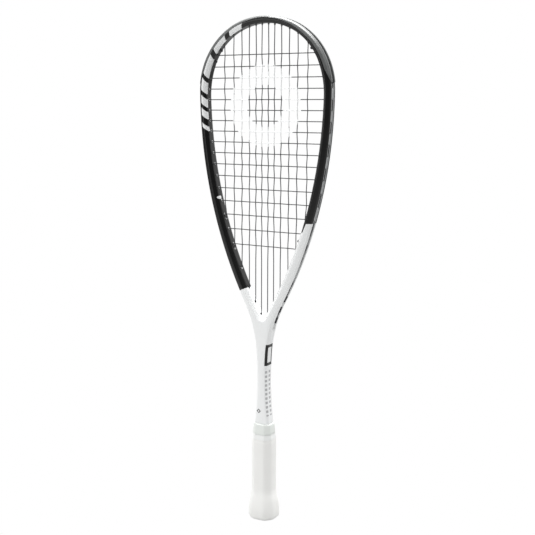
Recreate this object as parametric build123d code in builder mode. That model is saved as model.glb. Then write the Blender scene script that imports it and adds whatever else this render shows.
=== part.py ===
"""Squash racket: hollow hairpin frame, bumper and grommets, two-piece stringing, foam handle and wrapped grip.

+Z runs from the butt to the tip, +X across the head and +Y through the string plane, away from the front.
The origin is the middle of the butt's flat end. All sizes are in millimetres.
"""

import os
from math import acos, asin, atan, atan2, cos, degrees, radians, sin, sqrt, tan

from build123d import *

# ---- frame outline ----
tube_end_z = 6.0  # lower end of the two legs, inside the butt cap
handle_tube_length = 137.0  # straight legs, from their lower end to the flare
handle_tube_width = 22.2  # across both legs inside the handle
shaft_width = 15.0  # narrowest place of the shaft
flare_radius = 498.0  # the shaft widens down to the handle
throat_radius = 170.0  # hollow curve where the beams part
side_radius = 603.0  # long curve of the head's sides
throat_lean = 4.3  # degrees that the edge still leans where the throat curve ends
head_width = 198.0  # outside, at the widest place
crown_radius = 118.0
crown_turn = 12.0  # degrees of crown curve each side of the tip

# ---- opening that holds the strings ----
beam_top = 7.9  # beam width in the string plane at the tip
beam_side = 10.6  # the same at the widest place
opening_crown_radius = 95.0
opening_crown_turn = 25.0
opening_corner_radius = 80.0
opening_corner_turn = 43.0
opening_overturn = 1.5  # degrees past upright where the shoulder meets the side curve
opening_side_radius = 606.0
crotch_radius = 5.0

# ---- beam section ----
beam_depth = 19.0
outer_bevel = 2.2  # width in the string plane
inner_bevel = 3.4
bevel_depth = 3.0  # through the string plane
groove_depth = 2.6
groove_width = 7.0
groove_end_z = 271.0
face_wall = 2.5  # front and back walls of the hollow beam
groove_wall = 1.2  # wall under the string groove
inner_wall = 2.0
shaft_wall = 1.5
leg_web = 1.2  # wall between the two legs

# ---- strings and their holes ----
string_diameter = 1.25
main_gaps = (9.6, 9.2, 10.1, 11.8, 12.2, 14.6)  # from main to main, outwards from the middle gap
main_drops = (0.0, 0.0, 0.0, 0.0, 3.0, 6.0)  # how far below its own line a main enters the throat
main_leans = (0.0, 0.3, 1.0, 1.0, 1.0, 0.0)  # how far a throat hole leans along its main
mains_past_crosses = (0, 0, 0, 0, 1, 1)  # 1 where a main's lower loop runs beside the loops of the crosses
slant_length = 28.0  # last stretch of a main that drops to its hole
cross_count = 17
first_cross_below_tip = 47.2
cross_pitch = 13.9  # smallest spacing of the crosses
cross_growth = 0.062  # spacing gained with the square of the count from the tightest place
tightest_cross = 5.5
string_gap = 0.05  # between strings that cross
string_lift = 0.45  # between a string loop and the base it bridges
string_bend = 1.6
weave_slope = 16.0  # degrees, steepest slope of a cross between two mains
loop_gap = 0.1  # between two string loops that run side by side in the channel
string_tail = 3.0  # string end that shows past its knot's hole
close_crossing = 4.0  # a cross held nearer than this to a main has its hole off centre
hole_offset = 1.0
hole_gap = 0.15  # around a barrel in the beam

# ---- bumper and grommets ----
barrel_wall = 0.55
bore_gap = 0.325  # around the string in its barrel
barrel_reach = 0.8  # barrel past the beam's inner face
base_thickness = 0.9
rib_thickness = 0.7  # ribs along both sides of the string channel
groove_gap = 0.1
strip_lip_inset = 0.3
mouth_rim = 0.25  # width of the ring left around a bore's widened mouth
exit_widening = 0.75  # how much wider a bore is at its outer end, on every side
flare_length = 1.2  # length over which a bore widens at its outer end
end_gap = 0.8  # between the bumper and the strips
bumper_thickness = 1.0
bumper_bevel_share = 0.85  # share of the outer bevel that the bumper covers
bumper_runout = 18.0  # length over which the bumper's flanges taper away
throat_plate_length = 8.0
strip_tail = 7.0
knot_coil = 1.3  # radius of a knot's coil, to the middle of its string
knot_turns = 2
knot_pitch = 1.1

# ---- handle ----
foam_side_wall = 2.8  # outside the legs, in the string plane
foam_face_wall = 3.4  # in front of the legs and behind them
foam_start_z = 3.2
grip_end_z = 123.5
corner_cut = 0.26  # cut off each corner of the handle's octagon, as a share of its depth
foam_taper = 0.4  # the foam narrows by this on every side at its upper end
backing_thickness = 0.4
grip_thickness = 1.7
taper_z = 112.0  # where the grip starts to thin out
tape_length = 7.0
tape_thickness = 0.3
collar_length = 14.4
collar_lip = 0.55  # collar's lower edge past the foam, on every side
collar_narrowing = 1.4  # on every side, from the lower edge to the upper
cap_floor = 3.0
cap_length = 44.0
cap_wall = 0.6
flare_top_z = 47.0  # the handle flares out below this height
butt_bulge_z = 7.0
butt_swell = 4.75  # how far the butt stands out from the handle's straight part
hollow_share = 0.36  # share of the flare's curve that is hollow
butt_edge = 1.8
grip_start_z = 2.0
staple_wire = 0.8
staple_span = 9.0
staple_leg = 3.4
staple_sink = 0.6
staple_z = 34.0
grip_staple_z = 12.0

half_depth = beam_depth / 2
tube_depth = beam_depth - 2 * face_wall
bore_diameter = string_diameter + 2 * bore_gap
barrel_diameter = bore_diameter + 2 * barrel_wall
hole_diameter = barrel_diameter + 2 * hole_gap
mouth_flare = barrel_diameter / 2 - mouth_rim
exit_flare = bore_diameter / 2 + exit_widening
foam_width = handle_tube_width + 2 * foam_side_wall
foam_depth = beam_depth + 2 * foam_face_wall
collar_base_width = foam_width + 2 * collar_lip
collar_base_depth = foam_depth + 2 * collar_lip
string_radius = string_diameter / 2
weave_height = (string_diameter + string_gap) / cos(radians(weave_slope))
loop_offset = string_diameter + loop_gap
channel_floor = groove_depth - base_thickness
channel_inset = channel_floor - string_lift - string_radius
groove_half = groove_width / 2
rib_half = groove_half - groove_gap
channel_half = rib_half - rib_thickness
handle_half = handle_tube_width / 2
sleeve = backing_thickness + grip_thickness


def turn_for(radius, rise):
    """Degrees that an arc turns while it moves sideways by rise, starting upright."""
    return degrees(acos(1 - rise / radius))


# The outer edge is a chain of tangent arcs from the tip to the handle, and its turns follow from the widths.
lean = radians(throat_lean)
crown = radians(crown_turn)
side_run = side_radius + throat_radius * cos(lean) + flare_radius * (1 - cos(lean))
side = acos((side_run - (head_width - shaft_width) / 2) / (side_radius + throat_radius))
side_turn = degrees(side)
flare_turn = turn_for(flare_radius, (handle_tube_width - shaft_width) / 2)
shoulder_radius = (head_width / 2 - crown_radius * sin(crown)) / (1 - sin(crown))
waist_z = tube_end_z + handle_tube_length + flare_radius * sin(radians(flare_turn))
throat_rise = throat_radius * (sin(side) - sin(lean)) + flare_radius * sin(lean)
widest_z = waist_z + throat_rise + side_radius * sin(side)
tip_z = widest_z + shoulder_radius * cos(crown) + crown_radius * (1 - cos(crown))

# The opening is a chain of tangent arcs too. Its crotch arc touches the side curve from inside.
first_turn = radians(opening_crown_turn)
second_turn = first_turn + radians(opening_corner_turn)
overturn = radians(opening_overturn)
opening_top_z = tip_z - beam_top
corner_reach = opening_crown_radius * sin(first_turn)
corner_reach += opening_corner_radius * (sin(second_turn) - sin(first_turn))
opening_shoulder_radius = (head_width / 2 - beam_side - corner_reach) / (1 - sin(second_turn))
corner_drop = opening_crown_radius * (1 - cos(first_turn))
corner_drop += opening_corner_radius * (cos(first_turn) - cos(second_turn))
corner_drop += opening_shoulder_radius * cos(second_turn)
centre_shift = opening_side_radius - opening_shoulder_radius
side_centre_x = head_width / 2 - beam_side - opening_shoulder_radius - centre_shift * cos(overturn)
side_centre_z = opening_top_z - corner_drop + centre_shift * sin(overturn)
crotch_rise = sqrt((opening_side_radius - crotch_radius) ** 2 - side_centre_x**2)
crotch_turn = 90 - degrees(asin(crotch_rise / (opening_side_radius - crotch_radius)))
crotch_z = side_centre_z - crotch_rise - crotch_radius


def chain(start, turns):
    """Tangent arcs from start, heading along +X. Each turn is a radius and its degrees, negative clockwise."""
    heading = (1, 0)
    for radius, turn in turns:
        arc = JernArc(start=start, tangent=heading, radius=radius, arc_size=turn)
        start = arc @ 1
        heading = arc % 1
    return start


def outer_edge(inset=0.0):
    """Right half of the outer edge, moved inwards by inset, from the tip down to the legs' lower end."""
    end = chain(
        (0, tip_z - inset),
        (
            (crown_radius - inset, -crown_turn),
            (shoulder_radius - inset, crown_turn - 90),
            (side_radius - inset, -side_turn),
            (throat_radius + inset, side_turn - throat_lean),
            (flare_radius + inset, throat_lean + flare_turn),
        ),
    )
    Line(end, (end.X, tube_end_z))
    return (end.X, tube_end_z)


def opening_edge(inset=0.0):
    """Right half of the opening's edge, moved into the opening by inset, from its top to its crotch."""
    return chain(
        (0, opening_top_z - inset),
        (
            (opening_crown_radius - inset, -opening_crown_turn),
            (opening_corner_radius - inset, -opening_corner_turn),
            (opening_shoulder_radius - inset, opening_crown_turn + opening_corner_turn - 90 - opening_overturn),
            (opening_side_radius - inset, opening_overturn + crotch_turn - 90),
            (crotch_radius - inset, -crotch_turn),
        ),
    )


def outer_face(inset=0.0, mode=Mode.ADD):
    """Everything inside the outer edge, as a face."""
    with BuildLine() as outline:
        corner = outer_edge(inset)
        Line(corner, (0, corner[1]))
        mirror(about=Plane.YZ)
    make_face(outline.edges(), mode=mode)


def opening_face(inset=0.0, mode=Mode.SUBTRACT):
    """The opening, as a face to take away or keep."""
    with BuildLine() as outline:
        opening_edge(inset)
        mirror(about=Plane.YZ)
    make_face(outline.edges(), mode=mode)


def window(low_z, high_z, left=-head_width, right=head_width, mode=Mode.INTERSECT):
    """Keep or take away what lies between two heights and two sides."""
    with Locations(((left + right) / 2, (low_z + high_z) / 2)):
        Rectangle(right - left, high_z - low_z, mode=mode)


# ---- string holes: each port is the mouth inside the opening and the corner in the outer channel ----
with BuildLine() as channel_line:
    outer_edge(channel_inset)
with BuildLine() as mouth_line:
    opening_edge(barrel_reach)
channel = channel_line.wire()
mouths = mouth_line.wire()


def root(line, measure, low, high):
    """Parameter between low and high where measure of the line's point changes sign."""
    sign = measure(line @ low) > 0
    for _ in range(40):
        middle = (low + high) / 2
        if (measure(line @ middle) > 0) == sign:
            low = middle
        else:
            high = middle
    return (low + high) / 2


def port_at(place, along, lean_share, low, high):
    """Port whose mouth is at a parameter of the mouth line, leaning from the beam's normal towards along."""
    mouth = mouths @ place
    forward = mouths % place
    axis = (Vector(-forward.Y, forward.X) + along * lean_share).normalized()
    exit_place = root(channel, lambda point: axis.cross(point - mouth).Z, low, high)
    corner = channel @ exit_place
    return Vector(mouth.X, 0, mouth.Y), Vector(corner.X, 0, corner.Y)


def lower(place, drop):
    """Parameter of the mouth line at the side of the head, lower than place by drop."""
    height = (mouths @ place).Y - drop
    return root(mouths, lambda point: point.Y - height, mouth_widest, 1.0)


mouth_widest = root(mouths, lambda point: point.Y - widest_z, 0.0, 1.0)
channel_widest = root(channel, lambda point: point.Y - widest_z, 0.0, 1.0)
channel_end = root(channel, lambda point: point.Y - groove_end_z, channel_widest, 1.0)
main_x = [sum(main_gaps[1 : count + 1]) + main_gaps[0] / 2 for count in range(len(main_gaps))]
cross_z = [tip_z - first_cross_below_tip]
for count in range(1, cross_count):
    cross_z.append(cross_z[-1] - cross_pitch - cross_growth * (count - tightest_cross) ** 2)

top_ports = []
low_ports = []
for x, drop, hole_lean, beside in zip(main_x, main_drops, main_leans, mains_past_crosses):
    place = root(mouths, lambda point: point.X - x, 0.0, mouth_widest)
    top_ports.append(port_at(place, Vector(0, 1), 1.0, 0.0, channel_widest))
    place = lower(root(mouths, lambda point: point.X - x, mouth_widest, 1.0), drop)
    mouth, corner = port_at(place, Vector(0, -1), hole_lean, channel_widest, channel_end)
    low_ports.append((mouth, Vector(corner.X, -loop_offset * beside, corner.Z)))


def main_at(index, height):
    """Distance from the middle of a main at a height, with the slant of one that drops to its hole."""
    end = low_ports[index][0]
    share = min(max((end.Z + slant_length - height) / slant_length, 0.0), 1.0)
    return main_x[index] + (end.X - main_x[index]) * share


def crosses_main(index, height):
    """Whether a main reaches this height."""
    return low_ports[index][0].Z < height < top_ports[index][0].Z


cross_ports = []
for row, height in enumerate(cross_z):
    place = root(mouths, lambda point: point.Y - height, 0.0, 1.0)
    mouth, corner = port_at(place, Vector(1, 0), 1.0, 0.0, channel_end)
    outermost = max(index for index in range(len(main_x)) if crosses_main(index, height))
    if mouth.X - main_at(outermost, height) < close_crossing:
        mouth = Vector(mouth.X, hole_offset, mouth.Z)
    cross_ports.append((mouth, corner))


def between(first_z, second_z):
    """Port of a tie-off hole halfway between two heights."""
    place = root(mouths, lambda point: point.Y - (first_z + second_z) / 2, 0.0, 1.0)
    return port_at(place, Vector(1, 0), 0.0, 0.0, channel_end)


loop_rest_z = (low_ports[-1][1].Z + low_ports[-2][1].Z) / 2
loop_rest = channel @ root(channel, lambda point: point.Y - loop_rest_z, channel_widest, channel_end)
main_tie = between(top_ports[-1][0].Z, cross_z[0])
cross_tie_start = between(cross_z[0], cross_z[1])
cross_tie_end = between(cross_z[-2], cross_z[-1])


def on_side(ports, side_sign, depth_sign=1):
    """Ports on the right for +1 or mirrored to the left for -1."""
    flipped = []
    for port in ports:
        flipped.append(tuple(Vector(point.X * side_sign, point.Y * depth_sign, point.Z) for point in port))
    return flipped


def weave_side(column, row):
    """+1 where a cross passes behind a main, -1 where it passes in front."""
    return 1 if (column + row) % 2 else -1


columns = [-1 - index for index in reversed(range(len(main_x)))] + [index for index in range(len(main_x))]


def column_x(column, height):
    """Place across the head of the main in a column, at a height."""
    return main_at(column, height) if column >= 0 else -main_at(-1 - column, height)


def row_ends(row):
    """Left and right port of a cross, each off centre on the side that its last main leaves free."""
    height = cross_z[row]
    met = [column for column in columns if crosses_main(column if column >= 0 else -1 - column, height)]
    ends = []
    for column, side_sign in ((met[0], -1), (met[-1], 1)):
        depth_sign = weave_side(columns.index(column), row)
        ends.append(on_side([cross_ports[row]], side_sign, depth_sign)[0])
    return ends[0], ends[1], met


def rods(ports, diameter, overrun=0.0):
    """Straight rods along ports, from the mouth to the corner."""
    with BuildPart() as bundle:
        for mouth, corner in ports:
            axis = (corner - mouth).normalized()
            with BuildSketch(Plane(origin=mouth - axis * overrun, z_dir=axis)):
                Circle(diameter / 2)
            extrude(amount=(corner - mouth).length + overrun)
    return bundle.part


def bore_cutters(ports):
    """Bores along ports, widened at both ends where the string bends."""
    with BuildPart() as bundle:
        for mouth, corner in ports:
            axis = (corner - mouth).normalized()
            radial = axis.cross(Vector(0, 1, 0)).cross(axis).normalized()
            length = (corner - mouth).length
            with BuildSketch(Plane(origin=mouth, x_dir=radial, z_dir=radial.cross(axis))):
                Polygon(
                    (0, -barrel_reach),
                    (mouth_flare, -barrel_reach),
                    (mouth_flare, 0),
                    (bore_diameter / 2, flare_length / 2),
                    (bore_diameter / 2, length - 2 * flare_length + 0.2),
                    (exit_flare, length - flare_length + 0.2),
                    (exit_flare, length + barrel_reach),
                    (0, length + barrel_reach),
                    align=None,
                )
            revolve(axis=Axis(mouth, axis))
    return bundle.part


def liner(low_z, high_z, side_sign):
    """Channel piece that lines the string groove between two heights on one side."""
    left = 0 if side_sign > 0 else -head_width
    with BuildPart() as piece:
        with BuildSketch(Plane.XZ):
            outer_face(strip_lip_inset)
            outer_face(groove_depth, mode=Mode.SUBTRACT)
            window(low_z, high_z, left, left + head_width)
        extrude(amount=rib_half, both=True)
        with BuildSketch(Plane.XZ):
            outer_face(strip_lip_inset - 1)
            outer_face(channel_floor, mode=Mode.SUBTRACT)
        extrude(amount=channel_half, both=True, mode=Mode.SUBTRACT)
    return piece.part


def bored(piece, ports):
    """A liner with a barrel through the beam for every string."""
    rough_barrels = rods(ports, barrel_diameter)
    cutters = bore_cutters(ports)
    with BuildPart() as barrels:
        add(rough_barrels)
        with BuildSketch(Plane.XZ):
            outer_face((channel_floor + groove_depth) / 2)
        extrude(amount=half_depth, both=True, mode=Mode.INTERSECT)
    with BuildPart() as grommets:
        add(piece)
        add(barrels.part)
        add(cutters, mode=Mode.SUBTRACT)
    return grommets.part


rows = [row_ends(row) for row in range(cross_count)]
bumper_rows = 3
bumper_end_z = (cross_z[bumper_rows - 1] + cross_z[bumper_rows]) / 2
strip_end_z = low_ports[3][1].Z - strip_tail

bumper_ports = on_side(top_ports + [main_tie], 1) + on_side(top_ports + [main_tie], -1)
bumper_ports += on_side([cross_tie_start], -1)
for row in range(bumper_rows):
    bumper_ports += rows[row][:2]
left_ports = on_side(low_ports[3:], -1) + [rows[row][0] for row in range(bumper_rows, cross_count)]
right_ports = on_side(low_ports[3:] + [cross_tie_end], 1) + [rows[row][1] for row in range(bumper_rows, cross_count)]
throat_ports = {"left": on_side(low_ports[:3], -1), "right": on_side(low_ports[:3], 1)}
all_ports = bumper_ports + left_ports + right_ports + throat_ports["left"] + throat_ports["right"]

os.makedirs("parts", exist_ok=True)


def save(part, name):
    """Label a sub-part and write its STEP file."""
    part.label = name
    export_step(part, f"parts/{name}.step")


# ---- frame ----
string_holes = rods(all_ports, hole_diameter, overrun=2 * barrel_reach)
with BuildPart() as frame:
    with BuildSketch(Plane.XZ):
        outer_face()
        opening_face()
    extrude(amount=half_depth, both=True)
    for flat in frame.faces().filter_by(Axis.Y):
        rim = flat.outer_wire().edges().filter_by(lambda edge: edge.center().Z > tube_end_z + 1)
        chamfer(rim, length=outer_bevel, length2=bevel_depth, reference=flat)
    for flat in frame.faces().filter_by(Axis.Y).sort_by(SortBy.AREA)[-2:]:
        chamfer(flat.inner_wires()[0].edges(), length=inner_bevel, length2=bevel_depth, reference=flat)
    with BuildSketch(Plane.XZ):
        outer_face(-1)
        outer_face(groove_depth, mode=Mode.SUBTRACT)
        window(groove_end_z, tip_z + head_width)
    extrude(amount=groove_half, both=True, mode=Mode.SUBTRACT)
    for wall, low_z, high_z in (
        (shaft_wall, 0, groove_end_z),
        (groove_depth + groove_wall, groove_end_z - groove_depth, tip_z),
    ):
        with BuildSketch(Plane.XZ):
            outer_face(wall)
            window(low_z, high_z)
            window(0, crotch_z, -leg_web / 2, leg_web / 2, mode=Mode.SUBTRACT)
            opening_face(-inner_wall)
        extrude(amount=tube_depth / 2, both=True, mode=Mode.SUBTRACT)
    add(string_holes, mode=Mode.SUBTRACT)
save(frame.part, "frame")

# ---- bumper over the crown ----
bevel_tilt = atan2(outer_bevel, bevel_depth)
bevel_foot = half_depth - bevel_depth
flange_end = Vector(bevel_foot + bevel_depth * bumper_bevel_share, -outer_bevel * bumper_bevel_share)
flange_top = flange_end + Vector(sin(bevel_tilt), cos(bevel_tilt)) * bumper_thickness
lip_corner = (bevel_foot + bumper_thickness * tan(bevel_tilt / 2), bumper_thickness)
crown_end = Vector(crown_radius * sin(crown), tip_z - crown_radius * (1 - cos(crown)))
shoulder_x = crown_end.X - shoulder_radius * sin(crown)
bumper_turn = degrees(acos((bumper_end_z - widest_z) / shoulder_radius)) - crown_turn


def bumper_section(plane):
    """Face of the bumper's section: local x runs through the string plane and local y outwards."""
    with BuildSketch(plane) as section:
        with BuildLine() as outline:
            Polyline(
                (0, -groove_depth),
                (rib_half, -groove_depth),
                (rib_half, 0),
                (bevel_foot, 0),
                flange_end,
                flange_top,
                lip_corner,
                (channel_half, bumper_thickness),
                (channel_half, -channel_floor),
                (0, -channel_floor),
            )
            mirror(about=Plane.YZ)
        make_face(outline.edges())
    return section.sketch


tip_section = bumper_section(Plane(origin=(0, 0, tip_z), x_dir=(0, 1, 0), z_dir=(1, 0, 0)))
shoulder_section = bumper_section(
    Plane(origin=(crown_end.X, 0, crown_end.Y), x_dir=(0, 1, 0), z_dir=(cos(crown), 0, -sin(crown)))
)
with BuildPart() as bumper_shell:
    revolve(tip_section, axis=Axis((0, 0, tip_z - crown_radius), (0, 1, 0)), revolution_arc=crown_turn)
    revolve(shoulder_section, axis=Axis((shoulder_x, 0, widest_z), (0, 1, 0)), revolution_arc=bumper_turn)
    for side in (1, -1):
        with BuildSketch(Plane.XZ.offset(side * bevel_foot)):
            Polygon(
                (head_width / 2 + bumper_thickness, bumper_end_z),
                (head_width / 2 - 2 * outer_bevel, bumper_end_z + bumper_runout),
                (head_width / 2 - 6 * outer_bevel, bumper_end_z + bumper_runout),
                (head_width / 2 - 6 * outer_bevel, bumper_end_z - bumper_runout),
                (head_width / 2 + bumper_thickness, bumper_end_z - bumper_runout),
                align=None,
            )
        extrude(amount=side * bevel_depth * 2, mode=Mode.SUBTRACT)
    mirror(about=Plane.YZ)
with BuildPart() as bumper_guard:
    add(bored(bumper_shell.part, bumper_ports))
save(bumper_guard.part, "bumper_guard")

# ---- grommet strips down both sides and single grommets in the throat ----
for side_name, side_sign, ports in (("left", -1, left_ports), ("right", 1, right_ports)):
    with BuildPart() as grommet_strip:
        add(bored(liner(strip_end_z, bumper_end_z - end_gap, side_sign), ports))
    save(grommet_strip.part, f"grommet_strip_{side_name}")
    for number, port in enumerate(throat_ports[side_name], 1):
        middle = port[1].Z
        plate = liner(middle - throat_plate_length / 2, middle + throat_plate_length / 2, side_sign)
        with BuildPart() as throat_grommet:
            add(bored(plate, [port]))
        save(throat_grommet.part, f"throat_grommet_{side_name}_{number}")


# ---- strings ----
def tail_of(port):
    """Loose end of a string past the mouth of its tie-off hole."""
    mouth, corner = port
    return mouth + (mouth - corner).normalized() * string_tail


def strung(stops):
    """A string pulled straight between stops, with a bend at each."""
    with BuildLine() as path:
        start = stops[0]
        for before, stop, after in zip(stops, stops[1:], stops[2:]):
            incoming = (stop - before).normalized()
            outgoing = (after - stop).normalized()
            half_turn = radians(incoming.get_angle(outgoing)) / 2
            room = 0.45 * min((stop - before).length, (after - stop).length)
            radius = min(string_bend, room / tan(half_turn))
            cut = radius * tan(half_turn)
            sagitta = radius / cos(half_turn) - radius
            bend_start = stop - incoming * cut
            bend_end = stop + outgoing * cut
            Line(start, bend_start)
            ThreePointArc(bend_start, stop + (outgoing - incoming).normalized() * sagitta, bend_end)
            start = bend_end
        Line(start, stops[-1])
    with BuildPart() as string:
        with BuildSketch(Plane(origin=stops[0], z_dir=stops[1] - stops[0])):
            Circle(string_radius)
        sweep(path=path.wire())
    return string.part


main_ties = on_side([main_tie], -1) + [main_tie]
main_route = [tail_of(main_ties[0]), main_ties[0][1]]
for order, column in enumerate(columns):
    index = column if column >= 0 else -1 - column
    side_sign = 1 if column >= 0 else -1
    top_mouth, top_corner = on_side([top_ports[index]], side_sign)[0]
    low_mouth, low_corner = on_side([low_ports[index]], side_sign)[0]
    stops = [top_corner, top_mouth]
    if main_drops[index]:
        stops.append(Vector(top_mouth.X, 0, low_mouth.Z + slant_length))
    stops += [low_mouth, low_corner]
    main_route += stops[::-1] if order % 2 else stops
    if order in (0, len(columns) - 2):
        main_route.append(Vector(side_sign * loop_rest.X, -loop_offset, loop_rest.Y))
main_route += [main_ties[1][1], tail_of(main_ties[1])]

cross_ties = on_side([cross_tie_start], -1) + [cross_tie_end]
cross_route = [tail_of(cross_ties[0]), cross_ties[0][1]]
for row, height in enumerate(cross_z):
    left_port, right_port, met = rows[row]
    stops = [left_port[1], left_port[0]]
    for column in met:
        depth = weave_side(columns.index(column), row) * weave_height
        stops.append(Vector(column_x(column, height), depth, height))
    stops += [right_port[0], right_port[1]]
    cross_route += stops[::-1] if row % 2 else stops
cross_route += [cross_ties[1][1], tail_of(cross_ties[1])]

for string_name, route in (("main_string", main_route), ("cross_string", cross_route)):
    with BuildPart() as racket_string:
        add(strung(route))
    save(racket_string.part, string_name)

# ---- knots at the four loose ends ----
for knot_name, port in (
    ("main_knot_left", main_ties[0]),
    ("main_knot_right", main_ties[1]),
    ("cross_knot_start", cross_ties[0]),
    ("cross_knot_end", cross_ties[1]),
):
    inward = (port[0] - port[1]).normalized()
    with BuildPart() as knot:
        for turn in range(knot_turns):
            middle = port[0] + inward * (string_radius + turn * knot_pitch)
            with Locations(Plane(origin=middle, z_dir=inward)):
                Torus(knot_coil, string_radius)
    save(knot.part, knot_name)

# ---- handle ----
swell_turn = 2 * atan(butt_swell / (flare_top_z - butt_bulge_z))
hollow_radius = hollow_share * (flare_top_z - butt_bulge_z) / sin(swell_turn)
bulge_radius = (1 - hollow_share) * (flare_top_z - butt_bulge_z) / sin(swell_turn)
corner_half = ((foam_width + foam_depth) / 2 - corner_cut * foam_depth) / sqrt(2)


def swell(height):
    """How far the flare stands out from the straight handle at a height."""
    if height > flare_top_z - hollow_radius * sin(swell_turn):
        return hollow_radius - sqrt(hollow_radius**2 - (flare_top_z - height) ** 2)
    return butt_swell - bulge_radius + sqrt(bulge_radius**2 - (height - butt_bulge_z) ** 2)


def octagon_bar(layer, low_z, high_z, top_layer=None, flared=False):
    """Length of octagonal handle grown by layer, and by top_layer where it thins out at the handle's end."""
    upper = layer if top_layer is None else top_layer
    faces = ((0, foam_width / 2), (90, foam_depth / 2), (45, corner_half), (135, corner_half))
    with BuildPart() as bar:
        for turn, half in faces:
            with BuildSketch(Plane.XZ.rotated((0, 0, turn))):
                with BuildLine() as outline:
                    Polyline((0, grip_end_z), (half + upper, grip_end_z), (half + layer, taper_z))
                    if flared:
                        Line((half + layer, taper_z), (half + layer, flare_top_z))
                        bulge = chain_down((half + layer, flare_top_z))
                        Polyline(bulge, (bulge.X, 0), (0, 0))
                    else:
                        Polyline((half + layer, taper_z), (half + layer, 0), (0, 0))
                    mirror(about=Plane.YZ)
                make_face(outline.edges())
            extrude(amount=foam_width * 2, both=True, mode=Mode.INTERSECT if bar.part else Mode.ADD)
        with BuildSketch(Plane.XY.offset(low_z)):
            Rectangle(foam_width * 4, foam_width * 4)
        extrude(amount=high_z - low_z, mode=Mode.INTERSECT)
    return bar.part


def chain_down(start):
    """The flare's hollow and bulging arcs, from start to the widest place of the butt."""
    hollow = JernArc(start=start, tangent=(0, -1), radius=hollow_radius, arc_size=degrees(swell_turn))
    bulge = JernArc(start=hollow @ 1, tangent=hollow % 1, radius=bulge_radius, arc_size=-degrees(swell_turn))
    return bulge @ 1


def leg_bar(low_z, high_z):
    """Outside of both legs of the frame between two heights."""
    with BuildPart() as bar:
        with BuildSketch(Plane.XY.offset(low_z)):
            with BuildLine() as outline:
                Polyline(
                    (0, half_depth),
                    (handle_half - outer_bevel, half_depth),
                    (handle_half, bevel_foot),
                    (handle_half, -bevel_foot),
                    (handle_half - outer_bevel, -half_depth),
                    (0, -half_depth),
                )
                mirror(about=Plane.YZ)
            make_face(outline.edges())
        extrude(amount=high_z - low_z)
    return bar.part


def staple(depth, height):
    """Wire staple driven inwards from depth, at a height of the handle."""
    inward = -staple_leg if depth > 0 else staple_leg
    with BuildPart() as wire:
        with BuildLine() as path:
            FilletPolyline(
                (-staple_span / 2, depth + inward, height),
                (-staple_span / 2, depth, height),
                (staple_span / 2, depth, height),
                (staple_span / 2, depth + inward, height),
                radius=staple_wire,
            )
        with BuildSketch(Plane(origin=path.wire() @ 0, z_dir=path.wire() % 0)):
            Circle(staple_wire / 2)
        sweep(path=path.wire())
    return wire.part


cap_face = foam_depth / 2 + swell(staple_z) - staple_sink
grip_middle = foam_depth / 2 + swell(grip_staple_z) + backing_thickness + grip_thickness / 2

with BuildPart() as butt_cap_staples:
    add(staple(-cap_face, staple_z))
    add(staple(cap_face, staple_z))
save(butt_cap_staples.part, "butt_cap_staples")

with BuildPart() as grip_start_staple:
    add(staple(-grip_middle, grip_staple_z))
save(grip_start_staple.part, "grip_start_staple")

cap_core = octagon_bar(-cap_wall, cap_floor, cap_length)
cap_skirt = octagon_bar(0, 0, cap_length, flared=True)
with BuildPart() as butt_cap:
    add(octagon_bar(sleeve, 0, grip_start_z, flared=True))
    fillet(butt_cap.edges().group_by(Axis.Z)[0], radius=butt_edge)
    add(cap_skirt)
    add(cap_core, mode=Mode.SUBTRACT)
    add(butt_cap_staples.part, mode=Mode.SUBTRACT)
    add(grip_start_staple.part, mode=Mode.SUBTRACT)
save(butt_cap.part, "butt_cap")

with BuildPart() as handle_foam:
    add(octagon_bar(-cap_wall, foam_start_z, cap_length))
    add(octagon_bar(0, cap_length, grip_end_z, top_layer=-foam_taper))
    add(leg_bar(tube_end_z, grip_end_z), mode=Mode.SUBTRACT)
    add(butt_cap_staples.part, mode=Mode.SUBTRACT)
save(handle_foam.part, "handle_foam")

foam_outside = octagon_bar(0, cap_length, grip_end_z, top_layer=-foam_taper)
with BuildPart() as grip_backing_tape:
    add(octagon_bar(backing_thickness, grip_start_z, taper_z, flared=True))
    add(cap_skirt, mode=Mode.SUBTRACT)
    add(foam_outside, mode=Mode.SUBTRACT)
    add(grip_start_staple.part, mode=Mode.SUBTRACT)
save(grip_backing_tape.part, "grip_backing_tape")

with BuildPart() as grip:
    add(octagon_bar(sleeve, grip_start_z, grip_end_z, top_layer=0, flared=True))
    add(octagon_bar(backing_thickness, grip_start_z, taper_z, flared=True), mode=Mode.SUBTRACT)
    add(foam_outside, mode=Mode.SUBTRACT)
    add(grip_start_staple.part, mode=Mode.SUBTRACT)
save(grip.part, "grip")

tape_start_z = grip_end_z - tape_length
with BuildPart() as finishing_tape:
    add(octagon_bar(sleeve + tape_thickness, tape_start_z, grip_end_z, top_layer=tape_thickness))
    add(octagon_bar(sleeve, 0, grip_end_z, top_layer=0), mode=Mode.SUBTRACT)
save(finishing_tape.part, "finishing_tape")

collar_taper = degrees(atan(collar_narrowing / collar_length))
collar_cut = corner_cut * collar_base_depth
with BuildPart() as rubber_collar:
    with BuildSketch(Plane.XY.offset(grip_end_z)) as collar_base:
        Rectangle(collar_base_width, collar_base_depth)
        chamfer(collar_base.vertices(), collar_cut)
    extrude(amount=collar_length, taper=collar_taper)
    add(leg_bar(grip_end_z, grip_end_z + collar_length), mode=Mode.SUBTRACT)
save(rubber_collar.part, "rubber_collar")
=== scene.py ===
import math

import bmesh
import bpy
import numpy as np
from bpy.props import FloatProperty, FloatVectorProperty, IntProperty, PointerProperty
from bpy.types import Operator, Panel, PropertyGroup
from mathutils import Matrix, Vector


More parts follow.
